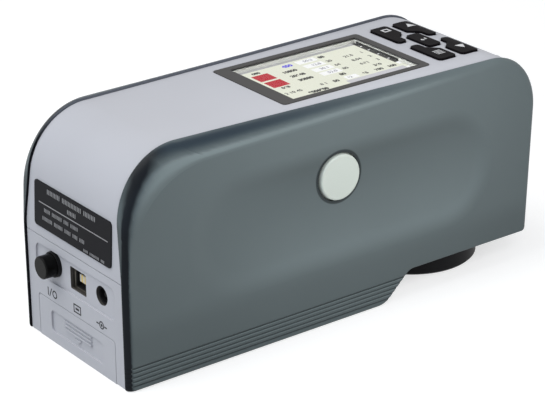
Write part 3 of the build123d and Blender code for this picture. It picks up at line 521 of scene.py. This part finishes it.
def circle(radius, points=40):
    """The outline of a circle round the origin."""
    turns = (2 * math.pi * step / points for step in range(points))
    return [(radius * math.cos(turn), radius * math.sin(turn)) for turn in turns]


def printed(name, meshes, surface, centre, across, upwards, material, lift=0.01, thickness=0.03,
            finest=None):
    """Prints flat meshes on a surface: a thin film laid along the view of the print's plane.

    The plane's origin is centre, and across and upwards are its axes. The film stands off by
    lift and is as thick as thickness, and on a curved surface none of its edges is longer than
    finest, all in mm.
    """
    clear_of = 50 * mm
    across, upwards = Vector(across), Vector(upwards)
    outward = across.cross(upwards)
    shape = bmesh.new()
    for mesh in meshes:
        shape.from_mesh(mesh)
        bpy.data.meshes.remove(mesh)
    bmesh.ops.remove_doubles(shape, verts=shape.verts, dist=0.001)
    long_edges = [edge for edge in shape.edges if finest and edge.calc_length() > finest]
    while long_edges:
        bmesh.ops.triangulate(shape, faces=shape.faces)
        long_edges = [edge for edge in shape.edges if edge.calc_length() > finest]
        bmesh.ops.subdivide_edges(shape, edges=long_edges, cuts=1)
    for vertex in shape.verts:
        spot = Vector(centre) + across * vertex.co.x * mm + upwards * vertex.co.y * mm
        hit = surface.ray_cast(spot + outward * clear_of, -outward)[0]
        if hit is None:
            raise ValueError(name + " reaches past its surface")
        vertex.co = hit + outward * (lift + thickness * vertex.co.z) * mm
    result = bpy.data.meshes.new(name)
    shape.to_mesh(result)
    shape.free()
    result.materials.append(material)
    piece = bpy.data.objects.new(name, result)
    bpy.context.scene.collection.objects.link(piece)
    return piece


lcd_face = surface_of("lcd_module")
over_origin = (0, 0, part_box("lcd_module")[1][2])


def on_screen(name, meshes, colour, lift):
    """A printed field or row of figures on the display."""
    piece = printed(name, meshes, lcd_face, over_origin, (1, 0, 0), (0, 1, 0),
                    lit(name + "_light", colour), lift=lift)
    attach(piece, "housing")


# Two sample fields, white value fields, a head strip, a status bar, a side bar and figures.
# Corners and places are the frame's own x and y, in mm.
value_rows = (16.4, 10.6, 5.0, -0.3)
lower_rows = value_rows[1:]
flush, raised, topmost = 0.01, 0.05, 0.09   # how far the layers stand off the panel
black, white = (0.002, 0.002, 0.002), (1.0, 1.0, 1.0)
on_screen("sample_fields", [block(-4.9, 7.6, 3.2, 14.8), block(-4.9, -1.1, 3.2, 6.1)],
          (0.52, 0.0, 0.015), flush)
value_fields = [block(19.8, y - 1.9, 29.6, y + 2.0) for y in value_rows]
value_fields += [block(25.0, -11.6, 31.2, -8.0), block(53.2, -9.8, 54.7, -7.4),
                 block(53.2, -16.6, 54.7, -14.0)]
value_fields += [block(53.5, y, 54.5, y + 0.7) for y in (-2.3, 4.4, 10.8, 16.0)]
on_screen("value_fields", value_fields, white, raised)
on_screen("status_field", [block(23.0, -21.0, 53.1, -12.3)], (0.60, 0.59, 0.63), flush)
on_screen("head_strip", [block(-11.5, 19.8, 53.1, 22.0)], (0.43, 0.43, 0.44), flush)
on_screen("side_bar", [block(53.1, -7.4, 54.7, 21.9)], black, flush)
# Each figure: what it says, its middle left, its height and how much bolder it is drawn.
dark_rows = [(text, 8.2, y, 2.1, 0.16)
             for text, y in zip(("10800", "20648", "30880"), lower_rows)]
dark_rows += [("080", -2.7, 17.0, 1.9, 0.14), ("068", -2.7, -3.3, 1.9, 0.14),
              ("88", 31.2, 16.4, 2.1, 0.16), ("80", 25.6, -5.2, 2.1, 0.16),
              ("360", 43.5, -5.2, 1.9, 0.12), ("50", 18.5, -9.9, 2.1, 0.16),
              ("65", 33.8, -9.9, 2.0, 0.14), ("780", 40.4, -9.9, 2.0, 0.12),
              ("100", 47.2, -9.9, 2.0, 0.16)]
pale_rows = [(text, 31.0, y, 2.0, 0.10) for text, y in zip(("20", "64", "80"), lower_rows)]
pale_rows += [(text, 40.2, y, 2.0, 0.10)
              for text, y in zip(("21.5", "8.04", "6.31"), lower_rows)]
pale_rows += [(text, 49.0, y, 2.0, 0.08) for text, y in zip("123", lower_rows)]
pale_rows += [("2 10 45", -5.6, -9.5, 2.0, 0.08), ("8 1", 12.2, -9.5, 2.0, 0.06),
              ("12", 25.8, -9.8, 1.8, 0.05)]
field_rows = [(text, 23.2, y, 2.0, 0.05)
              for text, y in zip(("50.2", "12.8", "30.1", "52.0"), value_rows)]
for name, rows, colour, layer in (
        ("dark_figures", dark_rows, (0.012, 0.012, 0.010), raised),
        ("bold_figures", [("8006800", 2.8, -14.2, 2.0, 0.2)], black, raised),
        ("grey_figures", pale_rows, (0.09, 0.09, 0.08), raised),
        ("field_figures", field_rows, (0.30, 0.30, 0.36), topmost),
        ("blue_figures", [("450", 12.3, 16.3, 2.4, 0.2)], (0.12, 0.09, 0.75), raised)):
    on_screen(name, [figures(*row) for row in rows], colour, layer)

# ---- top cover ----------------------------------------------------------------------------
# The pale moulding that runs up the end, over the top and down the front, in the same ABS.
# It carries the main board on its bosses and has the window and the key holes.
finish(pale_plastic, "top_cover")

# ---- bezel and window ---------------------------------------------------------------------
# The dark frame set into the cover's window from inside: textured ABS in a warm grey.
# The clear window of coated acrylic lies under its lip, over the foam frame.
bezel_grey = moulded("warm_grey_bezel", (0.060, 0.058, 0.057), 0.55, 3200, 0.012, 0.2,
                     specular=0.12)
finish(bezel_grey, "display_bezel")
window_acrylic = clear("coated_acrylic", (0.97, 0.98, 0.98), 1.07, 0.01)
finish(window_acrylic, "display_lens")

# ---- keys ---------------------------------------------------------------------------------
# Five black silicone keys: four L keys wrapped round the middle one.
# A flange under the top cover keeps each one in, and its stem stands over a key switch.
key_rubber = moulded("key_silicone", (0.006, 0.005, 0.006), 0.5, 2400, 0.02, 0.12,
                     specular=0.02, edge_radius=0.5)
finish(key_rubber, "key_menu", "key_up", "key_enter", "key_down", "key_list")
mark_ink = moulded("grey_key_ink", (0.62, 0.62, 0.63), 0.5, 3000, 0.004, 0.0, specular=0.3)
square_mark = [rectangle(-1.9, -1.7, 1.9, 1.7), rectangle(-1.0, -0.8, 1.0, 0.8)]
up_mark = [[(-2.3, -1.9), (2.3, -1.9), (0.0, 2.2)]]
down_mark = [[(-2.3, 1.9), (0.0, -2.2), (2.3, 1.9)]]
enter_mark = [[(-1.7, -0.3), (-0.5, 0.9), (-0.5, 0.05), (1.1, 0.05), (1.1, 1.3), (1.7, 1.3),
               (1.7, -0.6), (-0.5, -0.6), (-0.5, -1.5)]]
list_mark = [rectangle(-2.0, y - 0.3, 2.0, y + 0.3) for y in (-1.8, -0.6, 0.6, 1.8)]
key_marks = {"key_menu": (square_mark, 69.3, 18.3), "key_up": (up_mark, 82.0, 18.0),
             "key_enter": (enter_mark, 74.65, 0.0), "key_down": (down_mark, 81.8, -16.2),
             "key_list": (list_mark, 69.2, -16.2)}
keys_z = 90 * mm
for key, (mark, x, y) in key_marks.items():
    piece = printed(key + "_mark", [outlines(mark)], surface_of(key), (x * mm, y * mm, keys_z),
                    (1, 0, 0), (0, 1, 0), mark_ink, lift=-0.03, thickness=0.04, finest=1.1)
    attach(piece, key)

# ---- end panel, label and door ------------------------------------------------------------
# The lower end moulding with the sunk port field, and the battery door that slides in it.
# Both are the pale ABS. The label above them is a thin charcoal film glued to the top cover.
finish(pale_plastic, "port_panel", "battery_door")
# The walls of the two socket openings lie deep in shade, unlike the face of the field.
tree = pale_plastic.node_tree
endways = maths(tree, "ABSOLUTE", axes_of(tree, "Normal")["X"])
on_wall = maths(tree, "LESS_THAN", endways, 0.5)
openings_x, openings_z, opening_deep, opening_high = -103.4, 34.0, 3.6, 5.2
wall_shade = (0.075, 0.07, 0.065)
for socket_y, opening_wide in ((-1.6, 6.1), (-18.5, 4.6)):
    opening = within(tree, (openings_x, socket_y, openings_z),
                     (opening_deep, opening_wide, opening_high))
    recoloured(pale_plastic, maths(tree, "MULTIPLY", opening, on_wall), wall_shade)
label_film = moulded("charcoal_film", (0.012, 0.012, 0.014), 0.5, 1500, 0.01, 0.1,
                     specular=0.05)
finish(label_film, "label_plate")

# The label carries rows of blank type bars in silver grey, and a thin rule between them.
label_ink = moulded("silver_ink", (0.35, 0.35, 0.36), 0.45, 2000, 0.004, 0.0, specular=0.3)
end_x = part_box("label_plate")[0][0]


def type_bars(groups, x, y, height, width, space):
    """A row of blank upright bars in groups, which stands for a line of print."""
    row = []
    for count in groups:
        for step in range(count):
            left = x + step * (width + space)
            row.append(block(left, y - height / 2, left + width, y + height / 2))
        x += count * (width + space) + 2 * space + width / 2
    return row


# The rule, and each row: its groups of bars, where it starts, its height, and the bars' width
# and space.
label_rows = [block(-24.2, 59.3, 25.4, 59.7)]
for groups, x, y, height, width, space in (
        ((9, 13, 8), -18.0, 65.4, 2.0, 0.45, 0.62), ((6,), -3.2, 61.9, 1.8, 0.45, 0.62),
        ((5, 8, 4, 6), -20.2, 57.0, 1.6, 0.4, 0.52),
        ((8, 7, 5, 4, 4), -21.4, 53.4, 1.6, 0.4, 0.52), ((4, 8, 3), 8.4, 50.2, 1.1, 0.4, 0.45)):
    label_rows += type_bars(groups, x, y, height, width, space)
label_print = printed("label_rows", label_rows, surface_of("label_plate"), (end_x, 0, 0),
                      (0, -1, 0), (0, 0, 1), label_ink)
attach(label_print, "housing")

# Under the ports: the on and off marks of the power button, a socket and a polarity mark.
caption_ink = moulded("dark_port_ink", (0.008, 0.009, 0.012), 0.5, 3000, 0.004, 0.0,
                      specular=0.3)
on_off = [block(-3.0, -1.8, -2.4, 1.8),
          outlines([[(-2.0, -1.9), (-1.4, -1.9), (0.3, 1.9), (-0.3, 1.9)]]),
          outlines([circle(1.75), circle(1.15)], 2.2, 0.0)]
socket_mark = [outlines([rectangle(-2.7, -1.9, 2.7, 1.9), rectangle(-2.1, -1.3, 2.1, 1.3)]),
               block(-1.3, -0.5, 1.3, 0.5)]
polarity_mark = [outlines([circle(1.7), circle(1.15)]), outlines([circle(0.65, 20)]),
                 block(-3.7, -0.3, -1.9, 0.3), block(1.9, -0.3, 3.7, 0.3)]
caption_z = 21.9
for name, mark, y in (("on_off_mark", on_off, 17.7), ("socket_mark", socket_mark, -1.2),
                      ("polarity_mark", polarity_mark, -18.7)):
    piece = printed(name, mark, surface_of("port_panel"), (end_x, y * mm, caption_z * mm),
                    (0, -1, 0), (0, 0, 1), caption_ink)
    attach(piece, "housing")
# Its paled edges are a painted highlight on the glossy cap.
glossy_black = moulded("glossy_black_cap", (0.004, 0.004, 0.004), 0.25, 1200, 0.006, 0.35,
                       specular=0.07, edge_radius=0.5)
finish(glossy_black, "power_button")

# ---- side shells --------------------------------------------------------------------------
# The two dark side mouldings with rolled shoulders, a shallow grip scoop and grip lines.
# Painted ABS in satin grey-green. The shells close the body and carry the lips under the pale
# strip, and the case screws hold them between the two covers.
# Its strongly paled edges are a painted highlight on the groove lips and seams.
shell_paint = moulded("grey_green_satin", (0.128, 0.156, 0.161), 0.40, 3400, 0.010, 0.6,
                      specular=0.12)
tree = shell_paint.node_tree
facing = axes_of(tree, "Normal")
spot = axes_of(tree)


def eased(value, low, high, most=1.0):
    """0 at low and the given amount at high, with a smooth run between them."""
    run = shell_paint.node_tree.nodes.new("ShaderNodeMapRange")
    run.interpolation_type = "SMOOTHSTEP"
    shell_paint.node_tree.links.new(value, run.inputs["Value"])
    for label, number in (("From Min", low), ("From Max", high), ("To Max", most)):
        run.inputs[label].default_value = number
    return run.outputs[0]


def product(first, *others):
    """The factors multiplied, in the shells' tree."""
    for other in others:
        first = maths(shell_paint.node_tree, "MULTIPLY", first, other)
    return first


def distance(a, b):
    """The length of two offsets at right angles, in the shells' tree."""
    tree = shell_paint.node_tree
    squares = [maths(tree, "POWER", offset, 2.0) for offset in (a, b)]
    return maths(tree, "SQRT", maths(tree, "ADD", *squares))


# The rolls at the top and at the end are painted darker and bluer: painted shade.
# The top roll's painted shade fades towards the front, and before its crest a roll has only
# half of the dark tone.
top_roll_shade_colour, end_roll_shade_colour, before_crest = (0.021, 0.033, 0.045), (0.005, 0.007, 0.010), 0.5
top_roll_shade = product(eased(facing["Z"], 0.27, 0.90), eased(spot["X"], 115 * mm, -60 * mm))
end_roll_shade = eased(product(facing["X"], -1.0), 0.10, 0.42)
sideways = maths(tree, "ABSOLUTE", facing["Y"])
upwards = product(eased(facing["Z"], 0.05, 0.40, 0.2), eased(facing["Z"], 0.75, 0.50), end_roll_shade)
past_crest = maths(tree, "SUBTRACT", sideways, upwards)
past_crest = eased(past_crest, 0.10, 0.38, 1 - before_crest)
past_crest = maths(tree, "ADD", past_crest, before_crest)
rolls = product(maths(tree, "MAXIMUM", top_roll_shade, end_roll_shade), past_crest)
recoloured(shell_paint, rolls, tinted(tree, end_roll_shade, top_roll_shade_colour, end_roll_shade_colour))
# The faces turned towards the middle plane are painted dark: painted shade in the gap next
# to the pale mouldings. They are pale only at the top rim.
gap_shade_inside, rim_inside = (0.006, 0.007, 0.010), (0.128, 0.138, 0.165)
inside_shade_tone = tinted(tree, eased(spot["Z"], 80 * mm, 92 * mm), gap_shade_inside, rim_inside)
turned_in = maths(tree, "LESS_THAN", product(facing["Y"], spot["Y"]), -1 * mm)
recoloured(shell_paint, turned_in, inside_shade_tone)

# Round the test button the shell lies in shade, just past the flange behind it.
button_low, button_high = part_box("test_button")
flange_reach = (button_high[0] - button_low[0]) / 2
shade_from, shade_full, shade_most, bore_shade = 0.8 * mm, 0.2 * mm, 0.75, (0.008, 0.011, 0.013)
from_button = distance(*(maths(tree, "SUBTRACT", spot[axis],
                               (button_low[index] + button_high[index]) / 2)
                         for axis, index in (("X", 0), ("Z", 2))))
at_bore = eased(from_button, flange_reach + shade_from, flange_reach + shade_full, shade_most)
at_bore = product(maths(tree, "LESS_THAN", spot["Y"], 0.0), at_bore)
recoloured(shell_paint, at_bore, bore_shade)

# The scoop is a shallow dish with painted shading: its upper half is painted as in shade and
# its lower half as in light. Towards the front the painted light grows, and towards the end of
# the body the painted shading flattens out.
scoop_x, scoop_z, scoop_straight, scoop_reach = 4.4 * mm, 52 * mm, 51 * mm, 27 * mm
scoop_rim, shade_per_metre, front_light_gain = 9 * mm, -14.5, 0.08
along = maths(tree, "ABSOLUTE", maths(tree, "SUBTRACT", spot["X"], scoop_x))
past_straight = maths(tree, "MAXIMUM", maths(tree, "SUBTRACT", along, scoop_straight), 0.0)
above = maths(tree, "SUBTRACT", spot["Z"], scoop_z)
in_scoop = eased(distance(past_straight, above), scoop_reach, scoop_reach - scoop_rim)
dish = product(above, shade_per_metre, eased(spot["X"], -80 * mm, -10 * mm))
dish = maths(tree, "ADD", dish, eased(spot["X"], 20 * mm, 60 * mm, front_light_gain))
shading = maths(tree, "ADD", product(dish, in_scoop), 1.0)
# Just over the base the side is painted a little darker: painted shade.
base_shade_loss = 0.13
shading = maths(tree, "ADD", shading, eased(spot["Z"], 31 * mm, 19 * mm, -base_shade_loss))
# Under the dark roll the edge of the flat side is painted a little lighter: a painted highlight.
crest_highlight_gain, rear_highlight_gain = 0.33, 0.22
crest = product(eased(facing["Z"], 0.03, 0.20), eased(facing["Z"], 0.50, 0.30),
                eased(spot["Z"], 55 * mm, 72 * mm))
gain = maths(tree, "ADD", eased(spot["X"], 80 * mm, 10 * mm, crest_highlight_gain),
             eased(spot["X"], -20 * mm, -70 * mm, rear_highlight_gain))
shading = maths(tree, "ADD", shading, product(crest, gain))
# The grip lines: painted shade in the grooves, and a painted highlight on the lip under each.
line_pitch, line_width, lines_low, lines_high = 1.9 * mm, 0.7 * mm, 2.05 * mm, 10.35 * mm
lip_start, lip_highlight_gain, groove_shade_loss = 0.80, 0.35, 0.35
in_lines = product(maths(tree, "GREATER_THAN", spot["Z"], lines_low),
                   maths(tree, "LESS_THAN", spot["Z"], lines_high))
in_pitch = maths(tree, "DIVIDE", maths(tree, "SUBTRACT", spot["Z"], lines_low), line_pitch)
in_pitch = maths(tree, "FRACT", in_pitch)
in_groove = maths(tree, "LESS_THAN", in_pitch, line_width / line_pitch)
on_lip = maths(tree, "GREATER_THAN", in_pitch, lip_start)
lined = maths(tree, "SUBTRACT", product(on_lip, lip_highlight_gain), product(in_groove, groove_shade_loss))
shading = maths(tree, "ADD", shading, product(lined, in_lines))
shaded = tree.nodes.new("ShaderNodeVectorMath")
shaded.operation = "SCALE"
shell_colour = tree.nodes["Principled BSDF"].inputs["Base Color"]
tree.links.new(shell_colour.links[0].from_socket, shaded.inputs[0])
tree.links.new(shading, shaded.inputs["Scale"])
tree.links.new(shaded.outputs[0], shell_colour)
finish(shell_paint, "left_shell", "right_shell")

# ---- test button --------------------------------------------------------------------------
# The round off-white button in the near side shell: a moulded ABS cap with a rounded rim.
# A flange behind the shell keeps it in, and its stem stands over a switch of its own.
button_plastic = moulded("off_white_cap", (0.58, 0.63, 0.58), 0.45, 2800, 0.012, 0.05,
                         specular=0.2)
finish(button_plastic, "test_button")

# ---- studio -------------------------------------------------------------------------------
# A pale floor and a white surround under five square soft boxes, and the camera.
# The floor stands apart from the object and isn't part of it.


def soft_box(name, place, aim, size, power, colour=(1, 1, 1), mirrored=True):
    """A square lamp turned to its aim; mirrored says whether polished faces show it."""
    light = bpy.data.lights.new(name, "AREA")
    light.shape = "SQUARE"
    light.size = size
    light.energy = power
    light.color = colour
    lamp = bpy.data.objects.new(name, light)
    bpy.context.scene.collection.objects.link(lamp)
    lamp.location = place
    lamp.rotation_euler = (Vector(aim) - Vector(place)).to_track_quat("-Z", "Y").to_euler()
    lamp.visible_glossy = mirrored


soft_box("overhead", (-0.55, 0.30, 1.25), (0, 0, 0.05), 1.0, 12.0)
soft_box("side_key", (0.015, -0.19, 0.16), (0.015, -0.04, 0.075), 0.10, 0.245, mirrored=False)
soft_box("side_sheen", (0.55, -0.85, 0.12), (0.0, -0.04, 0.09), 0.35, 0.3)
soft_box("end_fill", (-1.3, -0.3, 0.6), (0, 0, 0.05), 0.9, 4.0, (0.80, 0.89, 1.0))
soft_box("end_key", (-0.26, -0.01, 0.15), (-0.108, 0, 0.072), 0.08, 0.030, (0.90, 0.95, 1.0),
         mirrored=False)


def seen_white(tree):
    """1 where the camera sees a surface straight, through glass or in a mirror, else 0."""
    path = tree.nodes.new("ShaderNodeLightPath").outputs
    seen = maths(tree, "MAXIMUM", path["Is Camera Ray"], path["Is Transmission Ray"])
    return maths(tree, "MAXIMUM", seen, path["Is Glossy Ray"])


world = bpy.data.worlds.new("white_surround")
bpy.context.scene.world = world
world.use_nodes = True
tree = world.node_tree
tree.nodes.clear()
both = tree.nodes.new("ShaderNodeMixShader")
tree.links.new(seen_white(tree), both.inputs[0])
# The surround lights the object with less than it shows.
for socket, colour, strength in ((both.inputs[1], (0.90, 0.95, 1.0), 0.29),
                                 (both.inputs[2], (1.0, 1.0, 1.0), 1.0)):
    backdrop = tree.nodes.new("ShaderNodeBackground")
    backdrop.inputs["Color"].default_value = (*colour, 1)
    backdrop.inputs["Strength"].default_value = strength
    tree.links.new(backdrop.outputs[0], socket)
out = tree.nodes.new("ShaderNodeOutputWorld")
tree.links.new(both.outputs[0], out.inputs["Surface"])

floor_reach, floor_low, floor_high, floor_glow = 6.0, (0.49,) * 3, (0.51,) * 3, 0.62
floor_corners = [(x * floor_reach, y * floor_reach, 0)
                 for x, y in ((-1, -1), (1, -1), (1, 1), (-1, 1))]
floor_mesh = bpy.data.meshes.new("floor")
floor_mesh.from_pydata(floor_corners, [], [(0, 1, 2, 3)])
floor = bpy.data.objects.new("floor", floor_mesh)
bpy.context.scene.collection.objects.link(floor)
floor_white = bpy.data.materials.new("pale_floor")
floor_white.use_nodes = True
tree = floor_white.node_tree
shader = tree.nodes["Principled BSDF"]
place = tree.nodes.new("ShaderNodeTexCoord").outputs["Object"]
tree.links.new(tinted(tree, noise(tree, place, 3.0), floor_low, floor_high),
               shader.inputs["Base Color"])
shader.inputs["Roughness"].default_value = 0.8
tree.links.new(tinted(tree, seen_white(tree), (0, 0, 0), (1, 1, 1)),
               shader.inputs["Emission Color"])
shader.inputs["Emission Strength"].default_value = floor_glow
floor_mesh.materials.append(floor_white)

# The camera looks along back; its place is given along its own axes, in mm.
azimuth, elevation, tilt = (math.radians(a) for a in (-36.68, 23.33, -0.52))
back_by, right_by, up_by, along_x = 930.27, -5.11, 37.57, 0.4
back = Vector((math.sin(azimuth) * math.cos(elevation), -math.cos(azimuth) * math.cos(elevation),
               math.sin(elevation)))
level = Vector((math.cos(azimuth), math.sin(azimuth), 0))
upright = back.cross(level)
right = math.cos(tilt) * level + math.sin(tilt) * upright
up = -math.sin(tilt) * level + math.cos(tilt) * upright
camera_data = bpy.data.cameras.new("camera")
camera_data.sensor_width = 36.0
camera_data.lens = 146.0
camera = bpy.data.objects.new("camera", camera_data)
bpy.context.scene.collection.objects.link(camera)
eye = (back * back_by + right * right_by + up * up_by + Vector((along_x, 0, 0))) * mm
camera.matrix_world = Matrix.Translation(eye) @ Matrix((right, up, back)).transposed().to_4x4()
bpy.context.scene.camera = camera
bpy.context.scene.view_settings.view_transform = "Standard"
